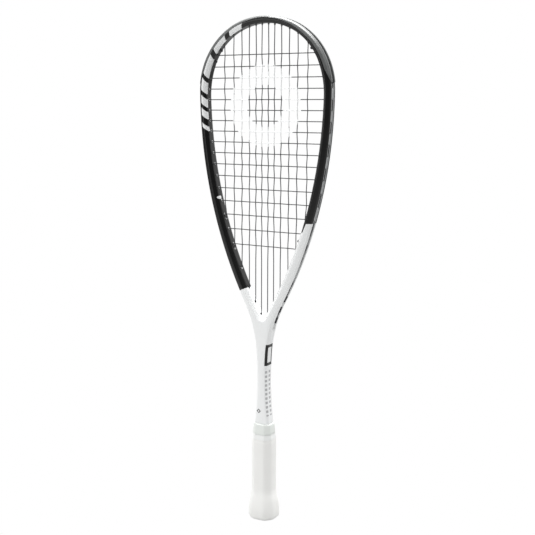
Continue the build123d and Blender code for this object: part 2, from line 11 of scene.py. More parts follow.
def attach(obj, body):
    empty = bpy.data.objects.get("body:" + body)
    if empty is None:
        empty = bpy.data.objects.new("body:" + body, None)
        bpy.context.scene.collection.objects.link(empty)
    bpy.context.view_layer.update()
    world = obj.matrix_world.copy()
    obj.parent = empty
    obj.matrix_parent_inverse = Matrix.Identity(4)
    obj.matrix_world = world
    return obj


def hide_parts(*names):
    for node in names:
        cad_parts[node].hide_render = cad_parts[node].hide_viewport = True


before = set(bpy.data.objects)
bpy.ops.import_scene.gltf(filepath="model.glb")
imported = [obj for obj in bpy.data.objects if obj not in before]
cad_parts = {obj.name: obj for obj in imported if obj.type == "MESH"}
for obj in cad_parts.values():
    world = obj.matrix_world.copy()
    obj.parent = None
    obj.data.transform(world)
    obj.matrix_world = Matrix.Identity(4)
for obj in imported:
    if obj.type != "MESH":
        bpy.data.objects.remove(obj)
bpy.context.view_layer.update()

bl_info = {
    "name": "Squash racket",
    "version": (1, 0, 0),
    "blender": (4, 5, 0),
    "location": "View3D > Sidebar > Racket",
    "description": "Builds the visible pieces of a strung squash racket around its solid model",
    "category": "Mesh",
}

MM = 0.001


def length(name, description, default_mm):
    """A size in metres, given in millimetres."""
    return FloatProperty(name=name, description=description, default=default_mm * MM,
                         subtype="DISTANCE", unit="LENGTH")


def colour(name, description, default):
    """A colour that a user may change, in linear red, green and blue."""
    return FloatVectorProperty(name=name, description=description, default=default,
                               subtype="COLOR", size=3, min=0, max=1)


class RacketSizes(PropertyGroup):
    """Sizes of the racket's pieces"""

    head_width: length("Head width", "Outside width of the head", 198)
    shaft_width: length("Shaft width", "Narrowest width of the shaft", 15)
    handle_tube_width: length("Handle tube width", "Width of the frame inside the handle", 22.2)
    crotch_radius: length("Crotch radius", "Radius between the two beams", 5)
    groove_depth: length("Groove depth", "Depth of the string groove", 2.6)
    groove_width: length("Groove width", "Width of the string groove", 7)
    bumper_thickness: length("Bumper thickness", "How far the bumper stands out", 1.0)
    bumper_cover: length("Bumper cover", "Width of the front face under the bumper's flange", 4.6)
    string_diameter: length("String diameter", "Thickness of the strings", 1.25)
    weave_rise: length("Weave rise", "How far each string bends out at a crossing", 0.66)
    string_sides: IntProperty(name="String sides", description="Faces round a string",
                              default=8, min=5, max=16)
    barrel_length: length("Barrel length", "Visible length of a bumper barrel", 3.4)
    grip_corner: length("Grip corner", "Radius of the grip's eight edges", 7.0)
    wrap_width: length("Wrap width", "Width of one turn of the grip", 23)
    wrap_step: length("Wrap step", "Height of the overlap between turns", 0.22)


class RacketColours(PropertyGroup):
    """Colours of the racket's finishes"""

    black: colour("Black lacquer", "Beams of the head", (0.006, 0.006, 0.006))
    white: colour("White lacquer", "Throat, shaft and blocks", (0.86, 0.87, 0.87))
    bumper: colour("Bumper", "Nylon over the crown", (0.11, 0.114, 0.113))
    grommets: colour("Grommet strips", "Pale nylon", (0.52, 0.53, 0.53))
    strings: colour("Strings", "Coated string", (0.035, 0.036, 0.04))
    stencil: colour("Stencil", "Ring painted on the strings", (0.88, 0.89, 0.89))
    grip: colour("Grip", "Wrapped grip", (0.86, 0.86, 0.84))
    collar: colour("Collar", "Rubber collar", (0.76, 0.79, 0.76))


# ---- outline of the frame, in millimetres and degrees ----
CROWN_RADIUS = 118.0  # outer edge, from the tip
CROWN_TURN = 12.0
SIDE_RADIUS = 603.0
THROAT_RADIUS = 170.0
FLARE_RADIUS = 498.0  # where the shaft widens into the handle
THROAT_LEAN = 4.3  # of the outer edge, where the throat's arc meets the flare's
STRAIGHT_LEGS_TOP = 143.0
LEGS_BOTTOM = 6.0
OPENING_TOP_RADIUS = 95.0  # opening's edge, from its top
OPENING_TOP_TURN = 25.0
OPENING_CORNER_RADIUS = 80.0
OPENING_CORNER_TURN = 43.0
OPENING_SIDE_RADIUS = 606.0
OPENING_OVERTURN = 1.5  # of the opening's side past upright
BEAM_AT_SIDE = 10.6  # width of a beam at the head's widest place
BEAM_AT_TIP = 7.9


def outline(sizes):
    """Radii and turns of the outer edge and the opening, from the tip down the right side."""
    half = sizes.head_width / MM / 2
    shaft = sizes.shaft_width / MM / 2
    leg = sizes.handle_tube_width / MM / 2
    crotch = sizes.crotch_radius / MM
    lean_sin, lean_cos = math.sin(math.radians(THROAT_LEAN)), math.cos(math.radians(THROAT_LEAN))
    run = SIDE_RADIUS + THROAT_RADIUS * lean_cos + FLARE_RADIUS * (1 - lean_cos)
    side_turn = math.degrees(math.acos((run - (half - shaft)) / (SIDE_RADIUS + THROAT_RADIUS)))
    flare_turn = math.degrees(math.acos(1 - (leg - shaft) / FLARE_RADIUS))
    crown_sin, crown_cos = math.sin(math.radians(CROWN_TURN)), math.cos(math.radians(CROWN_TURN))
    shoulder = (half - CROWN_RADIUS * crown_sin) / (1 - crown_sin)
    waist = STRAIGHT_LEGS_TOP + FLARE_RADIUS * math.sin(math.radians(flare_turn))
    side_sin = math.sin(math.radians(side_turn))
    widest = waist + THROAT_RADIUS * (side_sin - lean_sin) + FLARE_RADIUS * lean_sin + SIDE_RADIUS * side_sin
    tip = widest + shoulder * crown_cos + CROWN_RADIUS * (1 - crown_cos)
    outer = ((CROWN_RADIUS, -CROWN_TURN), (shoulder, CROWN_TURN - 90), (SIDE_RADIUS, -side_turn),
             (THROAT_RADIUS, side_turn - THROAT_LEAN), (FLARE_RADIUS, THROAT_LEAN + flare_turn))
    top_sin = math.sin(math.radians(OPENING_TOP_TURN))
    corner_sin = math.sin(math.radians(OPENING_TOP_TURN + OPENING_CORNER_TURN))
    reach = OPENING_TOP_RADIUS * top_sin + OPENING_CORNER_RADIUS * (corner_sin - top_sin)
    inner_half = half - BEAM_AT_SIDE
    upright = (inner_half - reach) / (1 - corner_sin)
    shift = (OPENING_SIDE_RADIUS - upright) * math.cos(math.radians(OPENING_OVERTURN))
    centre_x = inner_half - upright - shift
    rise = math.sqrt((OPENING_SIDE_RADIUS - crotch) ** 2 - centre_x**2)
    crotch_turn = 90 - math.degrees(math.asin(rise / (OPENING_SIDE_RADIUS - crotch)))
    inner = ((OPENING_TOP_RADIUS, -OPENING_TOP_TURN), (OPENING_CORNER_RADIUS, -OPENING_CORNER_TURN),
             (upright, OPENING_TOP_TURN + OPENING_CORNER_TURN - 90 - OPENING_OVERTURN),
             (OPENING_SIDE_RADIUS, OPENING_OVERTURN + crotch_turn - 90), (crotch, -crotch_turn))
    return {"half": half, "tip": tip, "widest": widest, "shoulder": shoulder,
            "crown_end": CROWN_RADIUS * crown_sin, "outer": outer, "inner": inner,
            "inner_top": tip - BEAM_AT_TIP}


def arc_points(start_z, turns, inset, step):
    """Points, and unit vectors towards the inside, along tangent arcs from the tip."""
    heading = 0.0
    spot = np.array([0.0, start_z - inset])
    points = [spot]
    inward = [np.array([0.0, -1.0])]
    for radius, turn in turns:
        radius = radius - inset if turn < 0 else radius + inset
        count = max(int(abs(math.radians(turn)) * radius / step), 3)
        side = -1 if turn < 0 else 1
        normal = np.array([-math.sin(heading), math.cos(heading)]) * side
        centre = spot + normal * radius
        for k in range(1, count + 1):
            angle = heading + math.radians(turn) * k / count
            normal = np.array([-math.sin(angle), math.cos(angle)])
            points.append(centre - normal * side * radius)
            inward.append(-normal)
        heading += math.radians(turn)
        spot = points[-1]
    return np.array(points), np.array(inward)


def outer_edge(plan, inset=0.0, step=0.5):
    """Right half of the outer edge, down to the legs' lower end."""
    points, inward = arc_points(plan["tip"], plan["outer"], inset, step)
    count = int((points[-1, 1] - LEGS_BOTTOM) / 2)
    legs = np.linspace(points[-1], (points[-1, 0], LEGS_BOTTOM), count + 1)[1:]
    return np.vstack([points, legs]), np.vstack([inward, np.tile((-1.0, 0.0), (count, 1))])


def opening_edge(plan, inset=0.0, step=0.5):
    """Right half of the opening's edge, from its top to its crotch."""
    return arc_points(plan["inner_top"], plan["inner"], inset, step)


def crossing(points, values, low=0, high=None):
    """Place on a line of points where values change sign, as (point, index)."""
    high = len(points) - 1 if high is None else high
    for k in range(low, high):
        if (values[k] > 0) != (values[k + 1] > 0):
            share = values[k] / (values[k] - values[k + 1])
            return points[k] + (points[k + 1] - points[k]) * share, k
    raise ValueError("The line does not cross the string's place.")


# ---- where the strings run ----
MAIN_GAPS = (9.6, 9.2, 10.1, 11.8, 12.2, 14.6)  # between the mains, from the middle out
MAIN_DROPS = (0, 0, 0, 0, 3, 6)  # how far a main's lower hole sits below its line
MAIN_LEANS = (0, 0.3, 1, 1, 1, 0)  # how far a lower hole leans towards the main
SLANT = 28.0  # lowest stretch of a main, which slants to its dropped hole
BESIDE = 1.35  # how far a dropped hole sits towards the front
FIRST_CROSS = 47.2  # below the tip
CLOSEST_GAP = 13.9  # between crosses, at the middle of the head
GAP_GROWTH = 0.062  # of the gaps away from the middle
MIDDLE_CROSS = 5.5
CROSSES = 17
MOUTH_OUT = 0.8  # how far a barrel's mouth stands inside the opening
CHANNEL_IN = 0.625  # depth of the string's line in its channel
TAIL = 3.0  # cut end past a knot


def string_plan(plan):
    """Mouth and outer corner of every string hole on the right, and the heights of the crosses."""
    mouths, mouth_in = opening_edge(plan, MOUTH_OUT, 0.4)
    channel, _ = outer_edge(plan, CHANNEL_IN, 0.4)
    widest_mouth = int(np.argmax(mouths[:, 0]))
    widest_channel = int(np.argmax(channel[:, 0]))

    def port(mouth, k, along, lean, low, high):
        axis = -mouth_in[k] + np.array(along) * lean
        axis = axis / np.linalg.norm(axis)
        away = channel - mouth
        corner, _ = crossing(channel, axis[0] * away[:, 1] - axis[1] * away[:, 0], low, high)
        return np.array([mouth[0], 0.0, mouth[1]]), np.array([corner[0], 0.0, corner[1]])

    mains_x = [MAIN_GAPS[0] / 2 + sum(MAIN_GAPS[1 : k + 1]) for k in range(6)]
    crosses_z = [plan["tip"] - FIRST_CROSS]
    for k in range(1, CROSSES):
        crosses_z.append(crosses_z[-1] - CLOSEST_GAP - GAP_GROWTH * (k - MIDDLE_CROSS) ** 2)
    tops, lows = [], []
    for x, drop, lean in zip(mains_x, MAIN_DROPS, MAIN_LEANS):
        mouth, k = crossing(mouths, mouths[:, 0] - x, 0, widest_mouth)
        tops.append(port(mouth, k, (0, 1), 1.0, 0, widest_channel))
        mouth, k = crossing(mouths, mouths[:, 0] - x, widest_mouth)
        mouth, k = crossing(mouths, mouths[:, 1] - (mouth[1] - drop), widest_mouth)
        low = port(mouth, k, (0, -1), lean, widest_channel, None)
        if drop:
            low[1][1] = -BESIDE
        lows.append(low)
    crosses = []
    for z in crosses_z:
        mouth, k = crossing(mouths, mouths[:, 1] - z)
        crosses.append(port(mouth, k, (1, 0), 1.0, 0, None))

    def tie(z):
        mouth, k = crossing(mouths, mouths[:, 1] - z)
        return port(mouth, k, (1, 0), 0.0, 0, None)

    return {"mains_x": mains_x, "crosses_z": crosses_z, "tops": tops, "lows": lows, "crosses": crosses,
            "main_tie": tie((tops[-1][0][2] + crosses_z[0]) / 2),
            "start_tie": tie((crosses_z[0] + crosses_z[1]) / 2),
            "end_tie": tie((crosses_z[-2] + crosses_z[-1]) / 2)}


def cut_end(port):
    """End of the string that hangs out of a tie-off hole, given as its mouth and outer corner."""
    away = port[0] - port[1]
    return port[0] + away / np.linalg.norm(away) * TAIL


def mirrored(point, side):
    return np.array([point[0] * side, point[1], point[2]])


def column_x(strings, column, z):
    """Place of a main across the head at a height; columns run from 0 on the left to 11."""
    index = column - 6 if column > 5 else 5 - column
    side = 1 if column > 5 else -1
    end = strings["lows"][index][0]
    share = min(max((end[2] + SLANT - z) / SLANT, 0.0), 1.0) if MAIN_DROPS[index] else 0.0
    return side * (strings["mains_x"][index] + (end[0] - strings["mains_x"][index]) * share)


def meets(strings, column, z):
    index = column - 6 if column > 5 else 5 - column
    return strings["lows"][index][0][2] < z < strings["tops"][index][0][2]


def woven(stops, heights, rise):
    """Run between stops that eases from crossing to crossing."""
    run = []
    for (a, ha), (b, hb) in zip(zip(stops, heights), zip(stops[1:], heights[1:])):
        count = max(int(np.linalg.norm(b - a) / 2.2), 2)
        for k in range(count):
            t = k / count
            spot = a + (b - a) * t
            ease = t * t * (3 - 2 * t)
            run.append(np.array([spot[0], (ha + (hb - ha) * ease) * rise, spot[2]]))
    run.append(np.array([stops[-1][0], heights[-1] * rise, stops[-1][2]]))
    return run


def rounded(points, radius=1.5):
    """Line with its sharp corners rounded, for the bends at the holes."""
    line = [points[0]]
    for before, spot, after in zip(points, points[1:], points[2:]):
        to_a, to_b = before - spot, after - spot
        la, lb = np.linalg.norm(to_a), np.linalg.norm(to_b)
        bend = math.degrees(math.acos(max(-1, min(1, -np.dot(to_a, to_b) / (la * lb)))))
        if bend < 12:
            line.append(spot)
            continue
        cut = min(radius * 1.1, 0.45 * la, 0.45 * lb)
        p, q = spot + to_a / la * cut, spot + to_b / lb * cut
        for t in (0, 0.25, 0.5, 0.75, 1):
            line.append(p * (1 - t) ** 2 + spot * 2 * t * (1 - t) + q * t * t)
    line.append(points[-1])
    return line


def main_route(strings, rise):
    """Route of the upright string, woven opposite to the crosses."""
    left = [mirrored(p, -1) for p in strings["main_tie"]]
    route = [cut_end(left), left[1]]
    for column in range(12):
        index = column - 6 if column > 5 else 5 - column
        side = 1 if column > 5 else -1
        top, low = strings["tops"][index], strings["lows"][index]
        stops, heights = [mirrored(top[0], side)], [0.0]
        for row, z in enumerate(strings["crosses_z"]):
            if meets(strings, column, z):
                stops.append(np.array([column_x(strings, column, z), 0, z]))
                heights.append(-1.0 if (column + row) % 2 else 1.0)
        end = mirrored(low[0], side)
        if np.linalg.norm(end - stops[-1]) > 30:
            middle = np.array([column_x(strings, column, stops[-1][2] - 22), 0, stops[-1][2] - 22])
            stops.append(middle)
            heights.append(0.0)
        stops.append(end)
        heights.append(0.0)
        run = [mirrored(top[1], side)] + woven(stops, heights, rise) + [mirrored(low[1], side)]
        route += run[::-1] if column % 2 else run
    return route + [strings["main_tie"][1], cut_end(strings["main_tie"])]


def cross_route(strings, rise):
    """Route of the string that runs across."""
    left = [mirrored(p, -1) for p in strings["start_tie"]]
    route = [cut_end(left), left[1]]
    for row, z in enumerate(strings["crosses_z"]):
        mouth, corner = strings["crosses"][row]
        met = [column for column in range(12) if meets(strings, column, z)]
        stops, heights = [mirrored(mouth, -1)], [0.0]
        for column in met:
            stops.append(np.array([column_x(strings, column, z), 0, z]))
            heights.append(1.0 if (column + row) % 2 else -1.0)
        stops.append(mouth)
        heights.append(0.0)
        if mouth[0] - column_x(strings, met[-1], z) < 4:
            heights[0] = heights[1]
            heights[-1] = heights[-2]
        run = [mirrored(corner, -1)] + woven(stops, heights, rise) + [corner]
        route += run[::-1] if row % 2 else run
    return route + [strings["end_tie"][1], cut_end(strings["end_tie"])]


# ---- mesh helpers ----
def add_mesh(name, points, faces, material=None, sharp=None):
    """Object at the origin from points in millimetres."""
    mesh = bpy.data.meshes.new(name)
    mesh.from_pydata([tuple(float(v) * MM for v in p) for p in points], [], faces)
    return finish_mesh(name, mesh, material, sharp)


def finish_mesh(name, mesh, material=None, sharp=None):
    work = bmesh.new()
    work.from_mesh(mesh)
    bmesh.ops.remove_doubles(work, verts=work.verts, dist=2e-6)
    bmesh.ops.dissolve_degenerate(work, edges=work.edges, dist=1e-6)
    bmesh.ops.recalc_face_normals(work, faces=work.faces)
    for face in work.faces:
        face.smooth = True
    work.to_mesh(mesh)
    work.free()
    if sharp is not None:
        mesh.set_sharp_from_angle(angle=math.radians(sharp))
    if material is not None:
        mesh.materials.clear()
        mesh.materials.append(material)
    piece = bpy.data.objects.new(name, mesh)
    bpy.context.scene.collection.objects.link(piece)
    return piece


def ring_mesh(name, rings, material=None, closed=True, caps=True, sharp=None):
    """Skin over rings of equal count."""
    count = len(rings[0])
    points = [p for ring in rings for p in ring]
    faces = []
    for k in range(len(rings) - 1):
        for j in range(count if closed else count - 1):
            m = (j + 1) % count
            faces.append((k * count + j, k * count + m, (k + 1) * count + m, (k + 1) * count + j))
    if caps:
        faces.append(tuple(range(count)))
        faces.append(tuple((len(rings) - 1) * count + j for j in range(count)))
    return add_mesh(name, points, faces, material, sharp)


def settle(piece, slot, *nodes):
    """Let a finished piece ride on the racket and stand for its solids."""
    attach(piece, "root")
    if nodes:
        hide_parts(*nodes)
    return piece


# ---- node helpers ----
class Nodes:
    """Short way to lay out a node tree."""

    def __init__(self, tree):
        self.tree = tree
        self.column = 0

    def add(self, kind, **settings):
        node = self.tree.nodes.new(kind)
        self.column += 1
        node.location = (self.column * 180, -(self.column % 5) * 140)
        for name, value in settings.items():
            setattr(node, name, value)
        return node

    def put(self, socket, value):
        if isinstance(value, bpy.types.NodeSocket):
            self.tree.links.new(value, socket)
        elif value is not None:
            socket.default_value = value

    def math(self, operation, a, b=None, c=None, clamp=False):
        node = self.add("ShaderNodeMath", operation=operation, use_clamp=clamp)
        for socket, value in zip(node.inputs, (a, b, c)):
            self.put(socket, value)
        return node.outputs[0]

    def times(self, a, b):
        return self.math("MULTIPLY", a, b)

    def plus(self, a, b, clamp=False):
        return self.math("ADD", a, b, clamp=clamp)

    def minus(self, a, b, clamp=False):
        return self.math("SUBTRACT", a, b, clamp=clamp)

    def most(self, a, b):
        return self.math("MAXIMUM", a, b)

    def mix(self, share, a, b):
        node = self.add("ShaderNodeMix", data_type="RGBA")
        self.put(node.inputs[0], share)
        self.put(node.inputs[6], a)
        self.put(node.inputs[7], b)
        return node.outputs[2]

    def ramp(self, value, low, high):
        """0 below low and 1 above high."""
        node = self.add("ShaderNodeMapRange", clamp=True)
        self.put(node.inputs[0], value)
        node.inputs[1].default_value = low
        node.inputs[2].default_value = high
        return node.outputs[0]

    def within(self, value, low, high, soft=0.00012):
        """1 between low and high."""
        past_low = self.ramp(value, low - soft, low + soft)
        short_of_high = self.ramp(value, high + soft, high - soft)
        return self.times(past_low, short_of_high)

    def distance(self, a, b):
        return self.math("SQRT", self.plus(self.times(a, a), self.times(b, b)))

    def diamond(self, x, z, centre_x, centre_z):
        """Distance from a place on the front, measured as a diamond's size."""
        across = self.math("ABSOLUTE", self.minus(x, centre_x))
        return self.plus(across, self.math("ABSOLUTE", self.minus(z, centre_z)))

    def either(self, share, a, b):
        """a where share is 1 and b where it is 0."""
        return self.plus(self.times(share, a), self.times(self.minus(1.0, share), b))

    def place(self):
        """Across, depth and height of a place on the piece, in metres."""
        spot = self.add("ShaderNodeSeparateXYZ")
        self.put(spot.inputs[0], self.add("ShaderNodeTexCoord").outputs["Object"])
        return spot.outputs


def rgba(value):
    return (value[0], value[1], value[2], 1.0)


def wear_group():
    """Fine unevenness shared by every finish: a tint, a roughness change and a height."""
    tree = bpy.data.node_groups.get("Fine unevenness")
    if tree:
        return tree
    tree = bpy.data.node_groups.new("Fine unevenness", "ShaderNodeTree")
    inputs = (("Grain size", 900.0), ("Cloud size", 30.0), ("Tint amount", 0.04), ("Gloss amount", 0.08))
    for name, default in inputs:
        socket = tree.interface.new_socket(name=name, in_out="INPUT", socket_type="NodeSocketFloat")
        socket.default_value = default
    for name in ("Tint", "Gloss change", "Height"):
        tree.interface.new_socket(name=name, in_out="OUTPUT", socket_type="NodeSocketFloat")
    n = Nodes(tree)
    start = n.add("NodeGroupInput")
    place = n.add("ShaderNodeTexCoord").outputs["Object"]
    grain = n.add("ShaderNodeTexNoise")
    n.put(grain.inputs["Vector"], place)
    n.put(grain.inputs["Scale"], start.outputs["Grain size"])
    grain.inputs["Detail"].default_value = 3
    cloud = n.add("ShaderNodeTexNoise")
    n.put(cloud.inputs["Vector"], place)
    n.put(cloud.inputs["Scale"], start.outputs["Cloud size"])
    cloud.inputs["Detail"].default_value = 4
    centred = n.minus(cloud.outputs["Fac"], 0.5)
    end = n.add("NodeGroupOutput")
    n.put(end.inputs["Tint"], n.math("MULTIPLY_ADD", centred, start.outputs["Tint amount"], 1.0))
    n.put(end.inputs["Gloss change"], n.times(centred, start.outputs["Gloss amount"]))
    n.put(end.inputs["Height"], grain.outputs["Fac"])
    return tree


def finish(name, base, roughness, grain, cloud, tint, gloss=0.08, bump=0.1, bump_depth=0.00005, coat=0.0,
           specular=0.5, sheen=0.0, metallic=0.0):
    """Material with the shared unevenness. base is a colour, or a function that lays out its pattern."""
    material = bpy.data.materials.new(name)
    material.use_nodes = True
    tree = material.node_tree
    tree.nodes.clear()
    n = Nodes(tree)
    wear = n.add("ShaderNodeGroup", node_tree=wear_group())
    wear.inputs["Grain size"].default_value = grain
    wear.inputs["Cloud size"].default_value = cloud
    wear.inputs["Tint amount"].default_value = tint
    wear.inputs["Gloss amount"].default_value = gloss
    shader = n.add("ShaderNodeBsdfPrincipled")
    plain = base(n) if callable(base) else base
    tinted = n.add("ShaderNodeVectorMath", operation="SCALE")
    n.put(tinted.inputs[0], plain if not isinstance(plain, tuple) else plain[:3])
    n.put(tinted.inputs["Scale"], wear.outputs["Tint"])
    n.put(shader.inputs["Base Color"], tinted.outputs[0])
    n.put(shader.inputs["Roughness"], n.plus(wear.outputs["Gloss change"], roughness, clamp=True))
    shader.inputs["Metallic"].default_value = metallic
    shader.inputs["Specular IOR Level"].default_value = specular
    shader.inputs["Coat Weight"].default_value = coat
    shader.inputs["Coat Roughness"].default_value = 0.06
    shader.inputs["Sheen Weight"].default_value = sheen
    relief = n.add("ShaderNodeBump")
    relief.inputs["Strength"].default_value = bump
    relief.inputs["Distance"].default_value = bump_depth
    n.put(relief.inputs["Height"], wear.outputs["Height"])
    n.put(shader.inputs["Normal"], relief.outputs[0])
    out = n.add("ShaderNodeOutputMaterial")
    n.put(out.inputs["Surface"], shader.outputs[0])
    return material


# ends of the white blocks along the left beam, in mm from the head's widest place
BLOCKS = ((102, 124), (68, 93), (30, 59), (6, 23), (-12, -1), (-28, -18), (-44, -38))


def paint_pattern(colours, plan):
    """Black head, white throat and shaft, and the plain blocks painted on them."""

    def lay(n):
        x, y, z = n.place()
        widest = plan["widest"] * MM
        left = n.math("LESS_THAN", x, 0.0)
        front = n.math("LESS_THAN", y, 0.0005)
        # ends of the black: nearly square on the left, with a point along the inner edge on the right
        slope = n.math("MULTIPLY_ADD", x, 0.46, 0.3386)
        left_end = n.ramp(n.minus(z, slope), -0.0002, 0.0002)
        point = n.times(n.most(n.minus(0.0672, x), 0.0), 2.1)
        point = n.math("MINIMUM", point, 0.012)
        right_end = n.ramp(n.plus(z, point), 0.4208, 0.4212)
        black = n.either(left, left_end, right_end)
        # place along and across the left beam: arcs about the shoulder's and the side's centres
        above = n.math("GREATER_THAN", z, widest)
        rise = n.minus(z, widest)
        shoulder_x = -(plan["crown_end"] - plan["shoulder"] * math.sin(math.radians(CROWN_TURN))) * MM
        shoulder_r = plan["shoulder"] * MM
        side_r = SIDE_RADIUS * MM
        near_x = n.minus(shoulder_x, x)
        far_x = n.minus(side_r - plan["half"] * MM, x)
        along_near = n.times(n.math("ARCTAN2", rise, near_x), shoulder_r)
        along_far = n.times(n.math("ARCTAN2", rise, far_x), side_r)
        along = n.either(above, along_near, along_far)
        depth_near = n.minus(shoulder_r, n.distance(near_x, rise))
        depth_far = n.minus(side_r, n.distance(far_x, rise))
        depth = n.either(above, depth_near, depth_far)
        slanted = n.math("MULTIPLY_ADD", depth, 0.9, along)
        blocks = None
        for low, high in BLOCKS:
            block = n.within(slanted, low * MM, high * MM)
            blocks = block if blocks is None else n.most(blocks, block)
        slope_face = n.times(left, n.math("LESS_THAN", y, -0.003))
        blocks = n.times(blocks, n.times(n.within(depth, 0.0036, 0.05), slope_face))
        # small marks on the left beam: a small white diamond on the front, and a thin pale slanted line
        # mixed in at 0.6 strength
        gem = n.times(n.ramp(n.diamond(x, z, -0.0695, 0.4485), 0.0026, 0.0023), front)
        # thin pale slanted line across the beam's front, painted at 0.6 strength
        rule = n.math("MULTIPLY_ADD", x, 1.9, n.minus(z, 0.2915))
        rule = n.times(n.within(rule, -0.0007, 0.0007), n.within(z, 0.359, 0.366))
        rule = n.times(rule, n.times(front, left))
        marks = n.most(blocks, n.most(gem, n.times(rule, 0.6)))
        white = n.most(n.minus(1.0, black), marks)
        base = n.mix(white, rgba(colours.black), rgba(colours.white))
        # marks on the right face of the shaft and low on its front
        right_face = n.math("GREATER_THAN", x, 0.0042)
        plate = n.times(n.within(z, 0.2215, 0.2515), n.within(y, -0.0088, 0.0062))
        gap = n.times(n.within(z, 0.2258, 0.2472), n.within(y, -0.0055, 0.0032))
        plate = n.times(n.minus(plate, gap, clamp=True), right_face)
        base = n.mix(plate, base, rgba(colours.black))
        beat = n.math("FRACT", n.times(z, 1 / 0.0062))
        dashes = n.times(n.math("LESS_THAN", beat, 0.55), n.within(z, 0.150, 0.217))
        columns = n.most(n.within(y, -0.0082, -0.0048), n.within(y, -0.0012, 0.0032))
        dashes = n.times(dashes, n.times(columns, right_face))
        base = n.mix(n.times(dashes, 0.6), base, (0.2, 0.2, 0.21, 1.0))
        dot = n.diamond(x, z, -0.0034, 0.1565)
        dot = n.times(n.times(n.ramp(dot, 0.0034, 0.0031), front), n.ramp(dot, 0.0016, 0.0019))
        return n.mix(dot, base, rgba(colours.black))

    return lay


def string_pattern(colours):
    """Dark string with a ring stencilled on the bed."""

    def lay(n):
        x, _, z = n.place()
        ring = n.within(n.distance(x, n.minus(z, 0.5715)), 0.0275, 0.0535, 0.0006)
        worn = n.add("ShaderNodeTexNoise")
        n.put(worn.inputs["Vector"], n.add("ShaderNodeTexCoord").outputs["Object"])
        worn.inputs["Scale"].default_value = 260
        ring = n.times(ring, n.ramp(worn.outputs["Fac"], 0.22, 0.4))
        return n.mix(ring, rgba(colours.strings), rgba(colours.stencil))

    return lay


def materials():
    """Every finish of the racket, made once."""
    found = bpy.data.materials.get("Frame lacquer")
    if not found:
        c = bpy.context.scene.racket_colours
        plan = outline(bpy.context.scene.racket_sizes)
        lacquer = {"gloss": 0.06, "bump": 0.04, "coat": 0.1, "specular": 0.3}
        moulded = {"gloss": 0.22, "bump": 0.25, "bump_depth": 0.00008}
        leather = {"gloss": 0.12, "bump": 0.3, "bump_depth": 0.0001, "sheen": 0.1}
        foam = {"bump": 0.6, "bump_depth": 0.0003}
        # name, colour, roughness, grain size, cloud size, tint and what else differs
        looks = (
            ("Frame lacquer", paint_pattern(c, plan), 0.32, 1400, 12, 0.03, lacquer),
            ("Bumper nylon", rgba(c.bumper), 0.36, 1500, 160, 0.35, moulded),
            ("Grommet nylon", rgba(c.grommets), 0.45, 1800, 60, 0.1, {"bump": 0.12}),
            ("Dark grommet nylon", (0.05, 0.05, 0.055, 1.0), 0.42, 1800, 60, 0.1, {"bump": 0.12}),
            ("Coated string", string_pattern(c), 0.38, 2600, 300, 0.25, {"gloss": 0.1, "bump": 0.3}),
            ("Grip wrap", rgba(c.grip), 0.55, 2200, 22, 0.05, leather),
            ("Collar rubber", rgba(c.collar), 0.62, 1300, 50, 0.06, {"bump": 0.2}),
            ("Butt plastic", (0.82, 0.82, 0.81, 1.0), 0.4, 1600, 40, 0.04, {"bump": 0.12}),
            ("Finishing tape", (0.84, 0.85, 0.84, 1.0), 0.32, 1200, 30, 0.04, {"bump": 0.08}),
            ("Handle foam", (0.72, 0.68, 0.6, 1.0), 0.8, 500, 40, 0.15, foam),
            ("Backing tape", (0.62, 0.62, 0.6, 1.0), 0.6, 700, 40, 0.1, {"bump": 0.3}),
            ("Staple wire", (0.6, 0.6, 0.62, 1.0), 0.3, 1500, 90, 0.1, {"metallic": 1.0}),
        )
        for name, base, roughness, grain, cloud, tint, more in looks:
            finish(name, base, roughness, grain, cloud, tint, **more)
    return bpy.data.materials


def dress(node, material):
    """Give a solid's own mesh a finish."""
    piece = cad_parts[node]
    if not piece.material_slots:
        piece.data.materials.append(material)
    for held in piece.material_slots:
        held.material = material


# ---- section of the beam, in millimetres ----
GROOVE_END = 271.0  # height where the outer groove has run out
GROOVE_RUN_OUT = 4.0


def beam_height(outward, inward, z):
    """Half depth of the beam, in mm, by the distances to the outer edge and to the opening."""
    share = np.clip((z - 265.0) / 60.0, 0, 1)
    share = share * share * (3 - 2 * share)
    head = np.interp(outward, (0, 0.35, 1.3, 7.2, 30), (5.0, 6.1, 7.6, 9.55, 9.6))
    shaft = np.interp(outward, (0, 0.4, 1.6, 3.2, 6.5, 30), (5.2, 6.5, 8.2, 9.0, 9.5, 9.6))
    edge = head * share + shaft * (1 - share)
    slope = np.interp(inward, (0, 0.5, 4.2, 8, 30), (5.3, 6.3, 9.4, 9.9, 12))
    soft = 0.28
    total = np.exp(-edge / soft) + np.exp(-slope / soft) + np.exp(-9.65 / soft)
    return -soft * np.log(total)


def distance_to(points, line):
    best = np.full(len(points), 1e9)
    for start in range(0, len(line), 400):
        part = line[start : start + 400]
        gap = np.linalg.norm(points[:, None, :] - part[None, :, :], axis=2).min(axis=1)
        best = np.minimum(best, gap)
    return best


